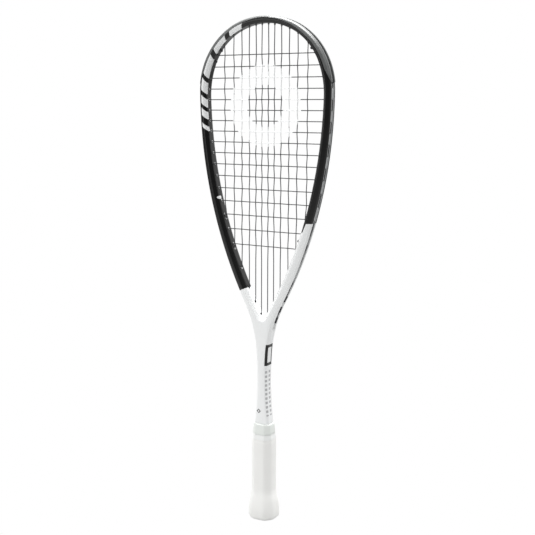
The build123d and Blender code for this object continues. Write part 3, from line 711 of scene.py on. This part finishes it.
def beam_stations(plan):
    """Pairs of outer and inner places across the beam, and whether the inner one is on the opening."""
    outer, inward = outer_edge(plan, 0.0, 0.5)
    inner, _ = opening_edge(plan, 0.0, 0.25)
    pairs = []
    last = 0
    travelled = 99.0
    for k in range(len(outer)):
        if k:
            travelled += np.linalg.norm(outer[k] - outer[k - 1])
        near_throat = 262 < outer[k, 1] < 300
        if travelled < (0.7 if near_throat else 2.6) and k < len(outer) - 1:
            continue
        travelled = 0.0
        if k == 0:
            pairs.append((outer[0], inner[0], True))
            continue
        away = inner - outer[k]
        side = inward[k][0] * away[:, 1] - inward[k][1] * away[:, 0]
        mate = None
        if outer[k, 1] > 270:
            for j in range(last, len(inner) - 1):
                if (side[j] > 0) != (side[j + 1] > 0) and np.dot(away[j], inward[k]) > 0:
                    share = side[j] / (side[j] - side[j + 1])
                    mate = inner[j] + (inner[j + 1] - inner[j]) * share
                    last = j
                    break
        if mate is not None:
            pairs.append((outer[k], mate, True))
            continue
        if pairs[-1][2]:
            for j in range(last + 2, len(inner), 3):
                pairs.append((pairs[-1][0] * 0.5 + outer[k] * 0.5, inner[j], True))
            pairs.append((outer[k], inner[-1], True))
        slope = -inward[k][1] / inward[k][0] if inward[k][0] else 0.0
        height = min(inner[-1, 1] - 0.05, outer[k, 1] + outer[k, 0] * slope)
        pairs.append((outer[k], np.array([0.0, height]), False))
    return pairs, outer, inner


def build_frame(sizes, material):
    plan = outline(sizes)
    pairs, outer, inner = beam_stations(plan)
    groove = sizes.groove_depth / MM
    half_groove = sizes.groove_width / MM / 2
    near = (0, 0.2, 0.45, 0.8, 1.3, 2.0)
    far = (4.6, 4.0, 3.2, 2.2, 1.2, 0.5, 0.2, 0)
    rows = []
    for out, mate, _ in pairs:
        span = np.linalg.norm(mate - out)
        scale = min(1.0, span / 7.6)
        spots = [d * scale for d in near]
        spots += list(np.linspace(near[-1] * scale, span - far[0] * scale, 7)[1:-1])
        spots += [span - d * scale for d in far]
        rows.append([out + (mate - out) * s / span for s in spots])
    grid = np.array(rows)
    count = grid.shape[1]
    flat = grid.reshape(-1, 2)
    gap_out = distance_to(flat, outer)
    gap_in = distance_to(flat, inner)
    height = beam_height(gap_out, gap_in, flat[:, 1]).reshape(len(pairs), count)
    points = []
    faces = []
    loops = []
    for k, (out, mate, open_here) in enumerate(pairs):
        depth = groove * min(1.0, max(0.0, (out[1] - GROOVE_END) / GROOVE_RUN_OUT))
        normal = (out - mate) / np.linalg.norm(out - mate)
        lip = -0.12 if depth else 0.0
        front = [(grid[k, j][0], -height[k, j], grid[k, j][1]) for j in range(count)]
        ring = front[::-1]
        for y, n in ((-half_groove - 0.5, 0.0), (-half_groove - 0.05, lip), (-half_groove, -depth),
                     (half_groove, -depth), (half_groove + 0.05, lip), (half_groove + 0.5, 0.0)):
            spot = out + normal * n
            ring.append((spot[0], y, spot[1]))
        ring += [(x, -y, z) for x, y, z in front]
        ring += [(mate[0], y, mate[1]) for y in (3.0, 0.0, -3.0)]
        loops.append((ring, open_here))
        points += ring
    size = len(loops[0][0])
    wall_start = 2 * count + 5
    for k in range(len(loops) - 1):
        both_closed = not loops[k + 1][1]
        for j in range(size):
            m = (j + 1) % size
            if both_closed and j >= wall_start:
                continue
            faces.append((k * size + j, k * size + m, (k + 1) * size + m, (k + 1) * size + j))
    last = (len(loops) - 1) * size
    faces.append(tuple(last + j for j in range(size)))
    right = len(points)
    points += [(-p[0], p[1], p[2]) for p in points]
    faces += [tuple(right + j for j in reversed(face)) for face in faces]
    return add_mesh("frame_tube", points, faces, material, 38)


# ---- bumper ----
BUMPER_END = 600.4  # height of its ends, in mm


def crown_path(plan, end_z, inset=0.0, step=1.5):
    """Outer edge over the crown between equal heights on both sides, with outward vectors."""
    points, inward = outer_edge(plan, inset, step)
    keep = [k for k in range(len(points)) if points[k, 1] >= end_z]
    right = points[keep]
    right_out = -inward[keep]
    left = right[1:][::-1] * (-1, 1)
    left_out = right_out[1:][::-1] * (-1, 1)
    return np.vstack([left, right]), np.vstack([left_out, right_out])


def build_bumper(sizes, material):
    plan = outline(sizes)
    path, outs = crown_path(plan, BUMPER_END)
    proud = sizes.bumper_thickness / MM
    cover = sizes.bumper_cover / MM
    rings = []
    for spot, out in zip(path, outs):
        taper = min(1.0, max(0.06, (spot[1] - BUMPER_END - 1.0) / 17.0))
        crown = min(1.0, abs(spot[0]) / 60.0)
        wide = (cover - 3.4 * (1 - crown)) * taper
        depths = np.array([wide, wide - 0.25, wide * 0.75, wide * 0.5, wide * 0.28, 0.9, 0.45, 0.12, 0.0])
        depths = np.clip(depths, 0, wide)
        width = BEAM_AT_TIP + (BEAM_AT_SIDE - BEAM_AT_TIP) * crown
        under = beam_height(depths, np.maximum(width - depths, 0), spot[1])
        rise = np.array([0.1, 0.7, 0.85, 0.9, 0.9, 0.9, 0.85, 0.8, 0.8]) * min(1.0, taper * 2)
        front = [(-d + (0.15 if d < 1 else 0.0), -(u + r)) for d, u, r in zip(depths, under, rise)]
        front[-1] = (proud * 0.55, -(under[-1] + 0.75))
        front += [(proud * 0.92, -(under[-1] + 0.1)), (proud, -(under[-1] - 0.6)), (proud, -3.3),
                  (proud * 0.85, -2.85), (proud * 0.5, -2.7), (-1.7, -2.7)]
        back = [(n, -y) for n, y in reversed(front)]
        under_back = [(-d, u - 0.02) for d, u in zip(depths, under)]
        under_front = [(n, -y) for n, y in reversed(under_back)]
        tongue = [(-0.05, 3.5), (-2.55, 3.4), (-2.55, -3.4), (-0.05, -3.5)]
        section = front + back + under_back + tongue + under_front
        rings.append([(spot[0] + out[0] * n, y, spot[1] + out[1] * n) for n, y in section])
    return ring_mesh("bumper_shell", rings, material, sharp=40)


def geometry_tree(name, inputs):
    """Geometry Nodes tree with a mesh coming in, named sizes and a mesh going out."""
    tree = bpy.data.node_groups.new(name, "GeometryNodeTree")
    tree.interface.new_socket(name="Geometry", in_out="INPUT", socket_type="NodeSocketGeometry")
    for label, kind, default in inputs:
        socket = tree.interface.new_socket(name=label, in_out="INPUT", socket_type=kind)
        if default is not None:
            socket.default_value = default
    tree.interface.new_socket(name="Geometry", in_out="OUTPUT", socket_type="NodeSocketGeometry")
    return tree


def run_tree(name, tree, source, values, sharp=None):
    """Evaluate a tree on a carrier mesh and keep the plain result."""
    carrier = bpy.data.objects.new(name + "_carrier", source)
    bpy.context.scene.collection.objects.link(carrier)
    modifier = carrier.modifiers.new("Shape", "NODES")
    modifier.node_group = tree
    for item in tree.interface.items_tree:
        if item.item_type == "SOCKET" and item.in_out == "INPUT" and item.name in values:
            modifier[item.identifier] = values[item.name]
    graph = bpy.context.evaluated_depsgraph_get()
    mesh = bpy.data.meshes.new_from_object(carrier.evaluated_get(graph))
    bpy.data.objects.remove(carrier)
    mesh.name = name
    for polygon in mesh.polygons:
        polygon.use_smooth = True
    if sharp is not None:
        mesh.set_sharp_from_angle(angle=math.radians(sharp))
    piece = bpy.data.objects.new(name, mesh)
    bpy.context.scene.collection.objects.link(piece)
    return piece


def end_tree(n, geometry, material_socket):
    real = n.add("GeometryNodeRealizeInstances")
    n.put(real.inputs[0], geometry)
    paint = n.add("GeometryNodeSetMaterial")
    n.put(paint.inputs["Geometry"], real.outputs[0])
    n.put(paint.inputs["Material"], material_socket)
    out = n.add("NodeGroupOutput")
    n.put(out.inputs[0], paint.outputs[0])


def string_tree():
    """Round string along a line of edges."""
    inputs = (("Radius", "NodeSocketFloat", 0.0006), ("Sides", "NodeSocketInt", 8),
              ("Finish", "NodeSocketMaterial", None))
    tree = geometry_tree("String along a route", inputs)
    n = Nodes(tree)
    start = n.add("NodeGroupInput")
    curve = n.add("GeometryNodeMeshToCurve")
    n.put(curve.inputs["Mesh"], start.outputs["Geometry"])
    round_ = n.add("GeometryNodeCurvePrimitiveCircle")
    n.put(round_.inputs["Resolution"], start.outputs["Sides"])
    n.put(round_.inputs["Radius"], start.outputs["Radius"])
    skin = n.add("GeometryNodeCurveToMesh")
    n.put(skin.inputs["Curve"], curve.outputs[0])
    n.put(skin.inputs["Profile Curve"], round_.outputs[0])
    skin.inputs["Fill Caps"].default_value = True
    end_tree(n, skin.outputs[0], start.outputs["Finish"])
    return tree


def barrel_tree():
    """Tapered barrel on every point, turned to the point's aim."""
    inputs = (("Root radius", "NodeSocketFloat", 0.0016), ("End radius", "NodeSocketFloat", 0.0011),
              ("Length", "NodeSocketFloat", 0.0034), ("Finish", "NodeSocketMaterial", None))
    tree = geometry_tree("Barrels on points", inputs)
    n = Nodes(tree)
    start = n.add("NodeGroupInput")
    cone = n.add("GeometryNodeMeshCone")
    cone.inputs["Vertices"].default_value = 14
    cone.inputs["Side Segments"].default_value = 2
    n.put(cone.inputs["Radius Top"], start.outputs["End radius"])
    n.put(cone.inputs["Radius Bottom"], start.outputs["Root radius"])
    n.put(cone.inputs["Depth"], start.outputs["Length"])
    aim = n.add("GeometryNodeInputNamedAttribute", data_type="FLOAT_VECTOR")
    aim.inputs["Name"].default_value = "aim"
    turn = n.add("FunctionNodeAlignRotationToVector", axis="Z")
    n.put(turn.inputs["Vector"], aim.outputs["Attribute"])
    place = n.add("GeometryNodeInstanceOnPoints")
    n.put(place.inputs["Points"], start.outputs["Geometry"])
    n.put(place.inputs["Instance"], cone.outputs["Mesh"])
    n.put(place.inputs["Rotation"], turn.outputs["Rotation"])
    end_tree(n, place.outputs[0], start.outputs["Finish"])
    return tree


def line_mesh(name, points):
    mesh = bpy.data.meshes.new(name)
    spots = [tuple(float(v) * MM for v in p) for p in points]
    mesh.from_pydata(spots, [(k, k + 1) for k in range(len(spots) - 1)], [])
    return mesh


# ---- handle, in millimetres ----
HANDLE_TOP = 123.5
THINNER_FROM = 112.0  # height where the wrap starts to thin out
BULB_TOP = 47.0  # height where the butt starts to swell
BULB_WIDEST = 7.0
CORNER_CUT = 0.26 * 25.8  # off each corner of the handle
COLLAR_CUT = 0.26 * 26.9
COLLAR_WIDEST = 14.45
CUP_HEIGHTS = (34.0, 27.0, 20.0, 12.0)  # heights shared by the rings of the cup and the grip


def octagon_ring(half_w, half_d, corner, z, radius, steps=5):
    """Rounded octagon, in mm, with corner as the cut off each corner."""
    w, d = half_w - corner, half_d - corner
    turns = [(half_w, -d), (half_w, d), (w, half_d), (-w, half_d),
             (-half_w, d), (-half_w, -d), (-w, -half_d), (w, -half_d)]
    ring = []
    for k, spot in enumerate(turns):
        spot = np.array(spot)
        before = np.array(turns[k - 1]) - spot
        after = np.array(turns[(k + 1) % 8]) - spot
        longest = 0.48 * min(np.linalg.norm(before), np.linalg.norm(after))
        cut = min(radius * math.tan(math.radians(22.5)), longest)
        p = spot + before / np.linalg.norm(before) * cut
        q = spot + after / np.linalg.norm(after) * cut
        for s in range(steps + 1):
            t = s / steps
            point = p * (1 - t) ** 2 + spot * 2 * t * (1 - t) + q * t * t
            ring.append((point[0], point[1], z))
    return ring


def butt_swell(z):
    """How far the butt stands out at a height, in mm."""
    swell, share = 4.75, 0.36
    turn = 2 * math.atan(swell / (BULB_TOP - BULB_WIDEST))
    hollow = share * (BULB_TOP - BULB_WIDEST) / math.sin(turn)
    full = (1 - share) * (BULB_TOP - BULB_WIDEST) / math.sin(turn)
    if z >= BULB_TOP:
        return 0.0
    if z > BULB_TOP - hollow * math.sin(turn):
        return hollow - math.sqrt(hollow**2 - (BULB_TOP - z) ** 2)
    if z > BULB_WIDEST:
        return swell - full + math.sqrt(full**2 - (z - BULB_WIDEST) ** 2)
    return swell


def build_grip(sizes, material):
    """Wrapped grip: one turn laps over the next with a low step that climbs round the handle."""
    wide, deep = 16.0, 15.0
    cut = CORNER_CUT + 1.1
    corner = sizes.grip_corner / MM
    edge_round = 4.2
    pitch = sizes.wrap_width / MM
    step = sizes.wrap_step / MM
    rings = []
    heights = [0.35, 0.6, 1.0, 1.6, 2.4, 3.4] + list(np.arange(4.6, HANDLE_TOP, 1.15)) + [HANDLE_TOP]
    for z in heights:
        swell = butt_swell(z)
        thin = max(0.0, (z - THINNER_FROM) / (HANDLE_TOP - THINNER_FROM)) * 2.1
        edge = edge_round - math.sqrt(max(edge_round**2 - max(4.5 - z, 0.0) ** 2, 0.0))
        grow = swell - thin - edge
        ring = octagon_ring(wide + grow, deep + grow, cut + grow * 0.58, z, corner + swell * 0.6)
        shaped = []
        for x, y, h in ring:
            around = math.atan2(y, x) / (2 * math.pi)
            lap = ((h / pitch) + around) % 1.0
            low = step * (1 - min(lap / 0.86, 1.0)) if lap < 0.86 else step * (lap - 0.86) / 0.14
            seam = -0.16 * math.exp(-((min(lap, 1 - lap) / 0.035) ** 2))
            shift = (low - step + seam) * (1 if h < THINNER_FROM else 0.4)
            reach = math.hypot(x, y)
            shaped.append((x * (1 + shift / reach), y * (1 + shift / reach), h))
        rings.append(shaped)
    rings.append(octagon_ring(13.6, 12.6, cut - 0.5, HANDLE_TOP, 3.0))
    for z in (THINNER_FROM, BULB_TOP, 40.0, *CUP_HEIGHTS, 4.5, 2.0, 0.35):
        grow = butt_swell(z) - max(0.0, 4.5 - z) * 0.42
        rings.append(octagon_ring(14.0 + grow, 13.0 + grow, cut + grow * 0.58, z, corner + grow * 0.6))
    rings.append(rings[0])
    return ring_mesh("grip_wrap", rings, material, caps=False, sharp=50)


def build_cap(sizes, material):
    """Butt cap: a cup that fills the grip's lower end, with a rounded rim and a shallow dish underneath."""
    cut = CORNER_CUT + 0.4
    corner = sizes.grip_corner / MM

    def ring(z, inset):
        grow = butt_swell(max(z, BULB_WIDEST)) - inset
        return octagon_ring(13.95 + grow, 12.95 + grow, cut + grow * 0.58, z, corner + max(grow, 0) * 0.6)

    dish = ((0.5, 6.5), (0.45, 4.4), (0.0, 3.9), (0.0, 2.3), (0.15, 1.95), (0.5, 1.75))
    outside = ((2.0, 1.1), (4.5, 0.05), *((z, 0.0) for z in reversed(CUP_HEIGHTS)), (43.8, 0.0))
    inside = ((44.0, 0.2), (44.0, 1.2), *((z, 1.6) for z in CUP_HEIGHTS), (2.4, 2.8))
    rings = [ring(z, inset) for z, inset in dish + outside + inside]
    return ring_mesh("butt_cap_cup", rings, material, sharp=50)


def build_collar(material):
    """Rubber collar with soft edges, drawn in round the shaft."""
    # height, half width, half depth and corner radius, upwards
    sections = ((HANDLE_TOP + 0.05, 13.9, 12.9, 3.0), (123.7, 14.3, 13.3, 3.0),
                (124.3, COLLAR_WIDEST, 13.45, 3.2), (127.0, 14.2, 13.2, 3.4), (131.0, 13.85, 12.85, 3.6),
                (135.0, 13.4, 12.4, 3.6), (137.2, 13.1, 12.15, 3.6), (137.75, 12.85, 11.95, 3.4),
                (137.9, 12.4, 11.5, 3.0))
    rings = []
    for z, w, d, soft in sections:
        rings.append(octagon_ring(w, d, COLLAR_CUT - (COLLAR_WIDEST - w) * 0.55, z, soft))
    rings += [octagon_ring(11.0, 9.4, 4.2, z, 1.5) for z in (137.9, HANDLE_TOP + 0.05)]
    rings.append(rings[0])
    return ring_mesh("collar_band", rings, material, caps=False, sharp=50)


# ---- operators ----
class RACKET_OT_frame(Operator):
    """Build the hollow frame's outside: beams, throat and shaft"""

    bl_idname = "racket.frame"
    bl_label = "Frame"

    def execute(self, context):
        piece = build_frame(context.scene.racket_sizes, materials()["Frame lacquer"])
        settle(piece, "frame", "frame")
        return {"FINISHED"}


class RACKET_OT_bumper(Operator):
    """Build the bumper over the crown and its barrels"""

    bl_idname = "racket.bumper"
    bl_label = "Bumper"

    def execute(self, context):
        sizes = context.scene.racket_sizes
        nylon = materials()["Bumper nylon"]
        settle(build_bumper(sizes, nylon), "bumper", "bumper_guard")
        strings = string_plan(outline(sizes))
        ports = []
        for side in (-1, 1):
            for mouth, corner in strings["tops"] + [strings["main_tie"]] + strings["crosses"][:3]:
                ports.append((mirrored(mouth, side), mirrored(corner, side)))
        ports.append(tuple(mirrored(p, -1) for p in strings["start_tie"]))
        carrier = bpy.data.meshes.new("bumper_barrel_places")
        aims = [(mouth - corner) / np.linalg.norm(mouth - corner) for mouth, corner in ports]
        long = sizes.barrel_length / MM
        spots = [mouth - aim * (long - 1.2) for (mouth, corner), aim in zip(ports, aims)]
        carrier.from_pydata([tuple(float(v) * MM for v in p) for p in spots], [], [])
        held = carrier.attributes.new("aim", "FLOAT_VECTOR", "POINT")
        held.data.foreach_set("vector", [float(v) for aim in aims for v in aim])
        values = {"Length": sizes.barrel_length, "Finish": nylon}
        piece = run_tree("bumper_barrels", barrel_tree(), carrier, values, 50)
        settle(piece, "bumper")
        return {"FINISHED"}


class RACKET_OT_grommets(Operator):
    """Finish the grommet strips and the single throat grommets"""

    bl_idname = "racket.grommets"
    bl_label = "Grommets"

    def execute(self, context):
        for side in ("left", "right"):
            dress(f"grommet_strip_{side}", materials()["Grommet nylon"])
            for number in (1, 2, 3):
                dress(f"throat_grommet_{side}_{number}", materials()["Dark grommet nylon"])
        return {"FINISHED"}


class RACKET_OT_strings(Operator):
    """Weave the two strings and finish their knots"""

    bl_idname = "racket.strings"
    bl_label = "Strings"

    def execute(self, context):
        sizes = context.scene.racket_sizes
        coating = materials()["Coated string"]
        strings = string_plan(outline(sizes))
        rise = sizes.weave_rise / MM
        tree = string_tree()
        values = {"Radius": sizes.string_diameter / 2, "Sides": sizes.string_sides, "Finish": coating}
        for name, node, route in (("upright_string", "main_string", main_route(strings, rise)),
                                  ("across_string", "cross_string", cross_route(strings, rise))):
            line = line_mesh(name + "_route", rounded(route))
            settle(run_tree(name, tree, line, values), "strings", node)
        for node in ("main_knot_left", "main_knot_right", "cross_knot_start", "cross_knot_end"):
            dress(node, coating)
        return {"FINISHED"}


class RACKET_OT_handle(Operator):
    """Wrap the grip, fit the collar and finish the handle's other pieces"""

    bl_idname = "racket.handle"
    bl_label = "Handle"

    def execute(self, context):
        kinds = materials()
        sizes = context.scene.racket_sizes
        settle(build_grip(sizes, kinds["Grip wrap"]), "grip", "grip")
        settle(build_collar(kinds["Collar rubber"]), "collar", "rubber_collar")
        settle(build_cap(sizes, kinds["Butt plastic"]), "cap", "butt_cap")
        for node, name in (("handle_foam", "Handle foam"), ("butt_cap_staples", "Staple wire"),
                           ("grip_start_staple", "Staple wire"), ("grip_backing_tape", "Backing tape"),
                           ("finishing_tape", "Finishing tape")):
            dress(node, kinds[name])
        return {"FINISHED"}


def soft_light(name, place, target, size, power):
    data = bpy.data.lights.new(name, "AREA")
    data.shape = "RECTANGLE"
    data.size, data.size_y = size
    data.energy = power
    lamp = bpy.data.objects.new(name, data)
    bpy.context.scene.collection.objects.link(lamp)
    lamp.location = place
    lamp.rotation_euler = (Vector(target) - Vector(place)).to_track_quat("-Z", "Y").to_euler()


class RACKET_OT_stage(Operator):
    """Set the pale floor, the soft studio light and the camera"""

    bl_idname = "racket.stage"
    bl_label = "Stage"

    def execute(self, context):
        scene = context.scene
        mesh = bpy.data.meshes.new("floor")
        mesh.from_pydata([(-9, -9, 0), (9, -9, 0), (9, 9, 0), (-9, 9, 0)], [], [(0, 1, 2, 3)])
        pale = bpy.data.materials.new("Pale floor")
        pale.use_nodes = True
        pale.node_tree.nodes.clear()
        n = Nodes(pale.node_tree)
        matt = n.add("ShaderNodeBsdfDiffuse")
        matt.inputs["Color"].default_value = (0.5, 0.5, 0.5, 1)
        lit = n.add("ShaderNodeEmission")
        lit.inputs["Color"].default_value = (1, 1, 1, 1)
        seen = n.add("ShaderNodeMixShader")
        n.put(seen.inputs[0], n.add("ShaderNodeLightPath").outputs["Is Camera Ray"])
        n.put(seen.inputs[1], matt.outputs[0])
        n.put(seen.inputs[2], lit.outputs[0])
        n.put(n.add("ShaderNodeOutputMaterial").inputs["Surface"], seen.outputs[0])
        mesh.materials.append(pale)
        floor = bpy.data.objects.new("floor", mesh)
        scene.collection.objects.link(floor)
        scene.view_settings.view_transform = "Standard"
        world = bpy.data.worlds.new("Studio")
        scene.world = world
        world.use_nodes = True
        n = Nodes(world.node_tree)
        world.node_tree.nodes.clear()
        way = n.add("ShaderNodeSeparateXYZ")
        n.put(way.inputs[0], n.add("ShaderNodeTexCoord").outputs["Generated"])
        path = n.add("ShaderNodeLightPath")
        behind = n.ramp(way.outputs[1], -0.25, 0.45)
        overhead = n.ramp(way.outputs[2], 0.2, 0.9)
        behind = n.math("MULTIPLY_ADD", behind, 1.1, 0.04)
        mirrored_light = n.most(behind, n.times(overhead, 0.9))
        strength = n.times(path.outputs["Is Diffuse Ray"], 0.45)
        strength = n.math("MULTIPLY_ADD", path.outputs["Is Glossy Ray"], mirrored_light, strength)
        strength = n.plus(path.outputs["Is Camera Ray"], strength)
        glow = n.add("ShaderNodeBackground")
        glow.inputs["Color"].default_value = (1, 1, 1, 1)
        n.put(glow.inputs["Strength"], strength)
        out = n.add("ShaderNodeOutputWorld")
        n.put(out.inputs["Surface"], glow.outputs[0])
        soft_light("top_light", (0.0, 0.3, 2.2), (0, 0, 0.5), (1.6, 1.2), 95)
        soft_light("key_light", (-1.3, -1.7, 1.1), (0, 0, 0.35), (1.2, 1.6), 17)
        lens = bpy.data.cameras.new("camera")
        lens.sensor_width = 36.0
        lens.lens = 61.96
        lens.clip_start = 0.05
        lens.clip_end = 40
        camera = bpy.data.objects.new("camera", lens)
        scene.collection.objects.link(camera)
        a, e, r = math.radians(30.247), math.radians(9.824), math.radians(0.219)
        back = Vector((math.sin(a) * math.cos(e), -math.cos(a) * math.cos(e), math.sin(e)))
        right = Vector((math.cos(a), math.sin(a), 0))
        up = back.cross(right)
        right, up = right * math.cos(r) + up * math.sin(r), up * math.cos(r) - right * math.sin(r)
        turn = Matrix((right, up, back)).transposed()
        camera.matrix_world = Matrix.Translation((0.62079, -1.05701, 0.56873)) @ turn.to_4x4()
        scene.camera = camera
        return {"FINISHED"}


STEPS = (RACKET_OT_frame, RACKET_OT_bumper, RACKET_OT_grommets, RACKET_OT_strings, RACKET_OT_handle,
         RACKET_OT_stage)


class RACKET_PT_pieces(Panel):
    """The racket's sizes, colours and pieces"""

    bl_idname = "RACKET_PT_pieces"
    bl_label = "Squash racket"
    bl_space_type = "VIEW_3D"
    bl_region_type = "UI"
    bl_category = "Racket"

    def draw(self, context):
        for group in (context.scene.racket_sizes, context.scene.racket_colours):
            box = self.layout.box()
            for name in group.__annotations__:
                box.prop(group, name)
        for step in STEPS:
            self.layout.operator(step.bl_idname)


CLASSES = (RacketSizes, RacketColours) + STEPS + (RACKET_PT_pieces,)


def register():
    for kind in CLASSES:
        bpy.utils.register_class(kind)
    bpy.types.Scene.racket_sizes = PointerProperty(type=RacketSizes)
    bpy.types.Scene.racket_colours = PointerProperty(type=RacketColours)


def unregister():
    del bpy.types.Scene.racket_colours
    del bpy.types.Scene.racket_sizes
    for kind in reversed(CLASSES):
        bpy.utils.unregister_class(kind)


def main():
    register()
    for step in STEPS:
        group, name = step.bl_idname.split(".")
        getattr(getattr(bpy.ops, group), name)()
    bpy.context.view_layer.update()


if __name__ == "__main__":
    main()
